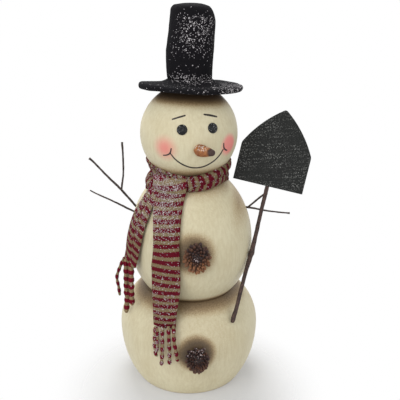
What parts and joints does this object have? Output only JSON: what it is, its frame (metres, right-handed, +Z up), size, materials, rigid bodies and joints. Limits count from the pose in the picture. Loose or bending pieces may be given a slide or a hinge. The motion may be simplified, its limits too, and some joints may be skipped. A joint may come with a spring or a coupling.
{
  "type": "wooden snowman figure",
  "caption": "Standing snowman of three turned, painted wood forms with a felt top hat, a knitted scarf, twig arms, a shovel and pine cone buttons.",
  "frame": {"origin": "centre of the base's flat bottom", "axes": "+Z up through the top hat, -Y to the front, +X to the shovel"},
  "size_m": [0.2199, 0.1603, 0.3848],
  "materials": {
    "painted_wood": "satin cream paint with brown edges",
    "dowel_wood": "bare",
    "eye_gloss": "gloss black",
    "nose_paint": "matt orange paint with a dark tip",
    "cone_scales": "natural, snow touched",
    "twig_bark": "bark",
    "handle_bark": "bark",
    "blade_board": "black paint with grey glitter",
    "hat_felt": "dark felt, snow touched",
    "scarf_knit": "striped knit"
  },
  "bodies": {
    "root": {"base_ball": "painted_wood", "torso": "painted_wood", "head": "painted_wood", "waist_dowel": "dowel_wood", "neck_dowel": "dowel_wood", "left_eye": "eye_gloss", "right_eye": "eye_gloss", "nose": "nose_paint", "upper_pine_cone": "cone_scales", "lower_pine_cone": "cone_scales", "left_arm_forked_twig": "twig_bark", "left_arm_plain_twig": "twig_bark", "right_arm_forked_twig": "twig_bark", "shovel_handle": "handle_bark", "shovel_blade": "blade_board", "hat_brim": "hat_felt", "hat_crown": "hat_felt", "scarf_neck_wrap": "scarf_knit", "scarf_front_tail": "scarf_knit", "scarf_side_tail": "scarf_knit"}
  },
  "joints": []
}
